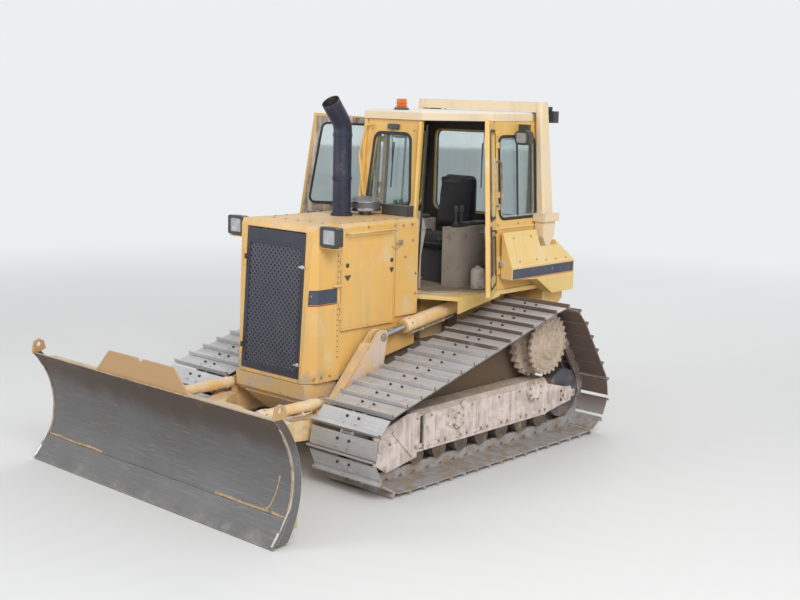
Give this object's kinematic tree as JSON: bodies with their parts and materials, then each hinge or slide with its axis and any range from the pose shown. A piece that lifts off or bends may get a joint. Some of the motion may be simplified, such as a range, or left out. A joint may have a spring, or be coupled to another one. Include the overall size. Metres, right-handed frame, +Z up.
{
  "type": "tracked bulldozer",
  "caption": "Crawler bulldozer with raised drive sprockets, closed cab, straight blade on a lifting, angling and tilting C-frame, stack and grille.",
  "frame": {"origin": "on the ground, under the middle of the bounding box", "axes": "+X forward to the blade, +Y the machine's left, +Z up"},
  "size_m": [4.766, 3.06, 3.1404],
  "materials": {
    "body_yellow": "satin",
    "frame_yellow": "worn",
    "track_steel": "worn",
    "roller_steel": "worn",
    "blade_steel": "worn",
    "rod_chrome": "polished",
    "dark_paint": "satin",
    "engine_grey": "dusty",
    "stack_steel": "heat-stained",
    "cleaner_chrome": "polished",
    "clear_glass": "clear",
    "lamp_black": "matte",
    "beacon_orange": "glossy",
    "seat_fabric": "woven",
    "seat_plastic": "matte",
    "trim_beige": "matte"
  },
  "bodies": {
    "base": {"air_cleaner": "cleaner_chrome", "beacon": "beacon_orange", "cab_front_wall": "body_yellow", "cab_glass": "clear_glass", "cab_rear_wall": "body_yellow", "cab_roof": "body_yellow", "cab_side_walls": "body_yellow", "consoles": "trim_beige", "dash": "trim_beige", "drawbar": "frame_yellow", "engine_block": "engine_grey", "exhaust_stack": "stack_steel", "fenders": "body_yellow", "final_drives": "frame_yellow", "fuel_tank": "body_yellow", "grab_rail": "body_yellow", "headlamps": "body_yellow", "hood_panels": "body_yellow", "hood_top": "body_yellow", "idlers": "roller_steel", "levers": "seat_plastic", "main_frame": "frame_yellow", "platform": "body_yellow", "radiator_core": "dark_paint", "radiator_guard": "body_yellow", "rops_frame": "body_yellow", "seat_base": "seat_plastic", "seat_cushions": "seat_fabric", "sprockets": "roller_steel", "track_frame_left": "frame_yellow", "track_frame_right": "frame_yellow", "track_left": "track_steel", "track_right": "track_steel", "track_rollers": "roller_steel", "vent_box": "lamp_black", "work_lamps": "lamp_black"},
    "c_frame": {"c_frame": "frame_yellow"},
    "yoke": {"angle_yoke": "frame_yellow"},
    "blade": {"moldboard": "blade_steel", "blade_back": "frame_yellow", "cutting_edge": "blade_steel"},
    "lift_barrel_left": {"lift_left_barrel": "body_yellow"},
    "lift_barrel_right": {"lift_right_barrel": "body_yellow"},
    "lift_rod_left": {"lift_left_rod": "rod_chrome"},
    "lift_rod_right": {"lift_right_rod": "rod_chrome"},
    "angle_barrel_left": {"angle_left_barrel": "body_yellow"},
    "angle_barrel_right": {"angle_right_barrel": "body_yellow"},
    "angle_rod_left": {"angle_left_rod": "rod_chrome"},
    "angle_rod_right": {"angle_right_rod": "rod_chrome"},
    "tilt_barrel": {"tilt_barrel": "body_yellow"},
    "tilt_rod": {"tilt_rod": "rod_chrome"},
    "left_door": {"left_door": "body_yellow", "left_door_glass": "clear_glass"},
    "right_door": {"right_door": "body_yellow", "right_door_glass": "clear_glass"},
    "left_engine_door": {"engine_door_left": "body_yellow"},
    "right_engine_door": {"engine_door_right": "body_yellow"},
    "grille_door": {"grille_door": "body_yellow"}
  },
  "joints": [
    {"name": "lift", "type": "hinge", "parent": "base", "child": "c_frame", "pos_m": [-0.42, 0, 0.45], "axis": [0, -1, 0], "range_deg": [-9, 18]},
    {"name": "blade_angle", "type": "hinge", "parent": "c_frame", "child": "yoke", "pos_m": [1.72, 0, 0.45], "axis": [0, 0, 1], "range_deg": [-25, 25]},
    {"name": "blade_tilt", "type": "hinge", "parent": "yoke", "child": "blade", "pos_m": [2, 0, 0.43], "axis": [1, 0, 0], "range_deg": [-7.5, 7.5]},
    {"name": "lift_barrel_left", "type": "hinge", "parent": "base", "child": "lift_barrel_left", "pos_m": [-0.85, 0.54, 1.28], "axis": [0, -1, 0], "range_deg": [-5, 10]},
    {"name": "lift_rod_left", "type": "slide", "parent": "lift_barrel_left", "child": "lift_rod_left", "axis": [0.9889, 0, -0.1488], "range_m": [-0.25, 0.125]},
    {"name": "lift_barrel_right", "type": "hinge", "parent": "base", "child": "lift_barrel_right", "pos_m": [-0.85, -0.54, 1.28], "axis": [0, -1, 0], "range_deg": [-5, 10]},
    {"name": "lift_rod_right", "type": "slide", "parent": "lift_barrel_right", "child": "lift_rod_right", "axis": [0.9889, 0, -0.1488], "range_m": [-0.25, 0.125]},
    {"name": "angle_barrel_left", "type": "hinge", "parent": "c_frame", "child": "angle_barrel_left", "pos_m": [0.95, 0.54, 0.64], "axis": [0, 0, 1], "range_deg": [-6, 6]},
    {"name": "angle_rod_left", "type": "slide", "parent": "angle_barrel_left", "child": "angle_rod_left", "axis": [0.9998, -0.0198, 0], "range_m": [-0.235, 0.235]},
    {"name": "angle_barrel_right", "type": "hinge", "parent": "c_frame", "child": "angle_barrel_right", "pos_m": [0.95, -0.54, 0.64], "axis": [0, 0, 1], "range_deg": [-6, 6]},
    {"name": "angle_rod_right", "type": "slide", "parent": "angle_barrel_right", "child": "angle_rod_right", "axis": [0.9998, 0.0198, 0], "range_m": [-0.235, 0.235]},
    {"name": "tilt_barrel", "type": "hinge", "parent": "yoke", "child": "tilt_barrel", "pos_m": [2.056, -0.42, 0.7], "axis": [1, 0, 0], "range_deg": [-4, 4]},
    {"name": "tilt_rod", "type": "slide", "parent": "tilt_barrel", "child": "tilt_rod", "axis": [0, 1, 0], "range_m": [-0.04, 0.04]},
    {"name": "left_cab_door", "type": "hinge", "parent": "base", "child": "left_door", "pos_m": [-1.03, 0.795, 1.4], "axis": [0, -0.059, 0.9983], "range_deg": [-62, 22]},
    {"name": "right_cab_door", "type": "hinge", "parent": "base", "child": "right_door", "pos_m": [-1.03, -0.795, 1.4], "axis": [0, -0.059, -0.9983], "range_deg": [-62, 22]},
    {"name": "left_engine_door", "type": "hinge", "parent": "base", "child": "left_engine_door", "pos_m": [0.687, 0.4793, 1.6], "axis": [0, 0, 1], "range_deg": [-100, 0]},
    {"name": "right_engine_door", "type": "hinge", "parent": "base", "child": "right_engine_door", "pos_m": [0.687, -0.4793, 1.6], "axis": [0, 0, -1], "range_deg": [-100, 0]},
    {"name": "grille_door", "type": "hinge", "parent": "base", "child": "grille_door", "pos_m": [1.0323, -0.359, 1.4], "axis": [-0.0612, 0, 0.9981], "range_deg": [-110, 0]}
  ],
  "couplings": [
    {"joint": "lift_barrel_left", "follows": "lift", "ratio": 0.5217},
    {"joint": "lift_rod_left", "follows": "lift", "m_per_rad": -0.7769},
    {"joint": "lift_barrel_right", "follows": "lift", "ratio": 0.5217},
    {"joint": "lift_rod_right", "follows": "lift", "m_per_rad": -0.7769},
    {"joint": "angle_barrel_left", "follows": "blade_angle", "ratio": 0.2282},
    {"joint": "angle_rod_left", "follows": "blade_angle", "m_per_rad": -0.5232},
    {"joint": "angle_barrel_right", "follows": "blade_angle", "ratio": 0.2282},
    {"joint": "angle_rod_right", "follows": "blade_angle", "m_per_rad": 0.5232},
    {"joint": "tilt_barrel", "follows": "blade_tilt", "ratio": 0.5},
    {"joint": "tilt_rod", "follows": "blade_tilt", "m_per_rad": -0.2698}
  ]
}
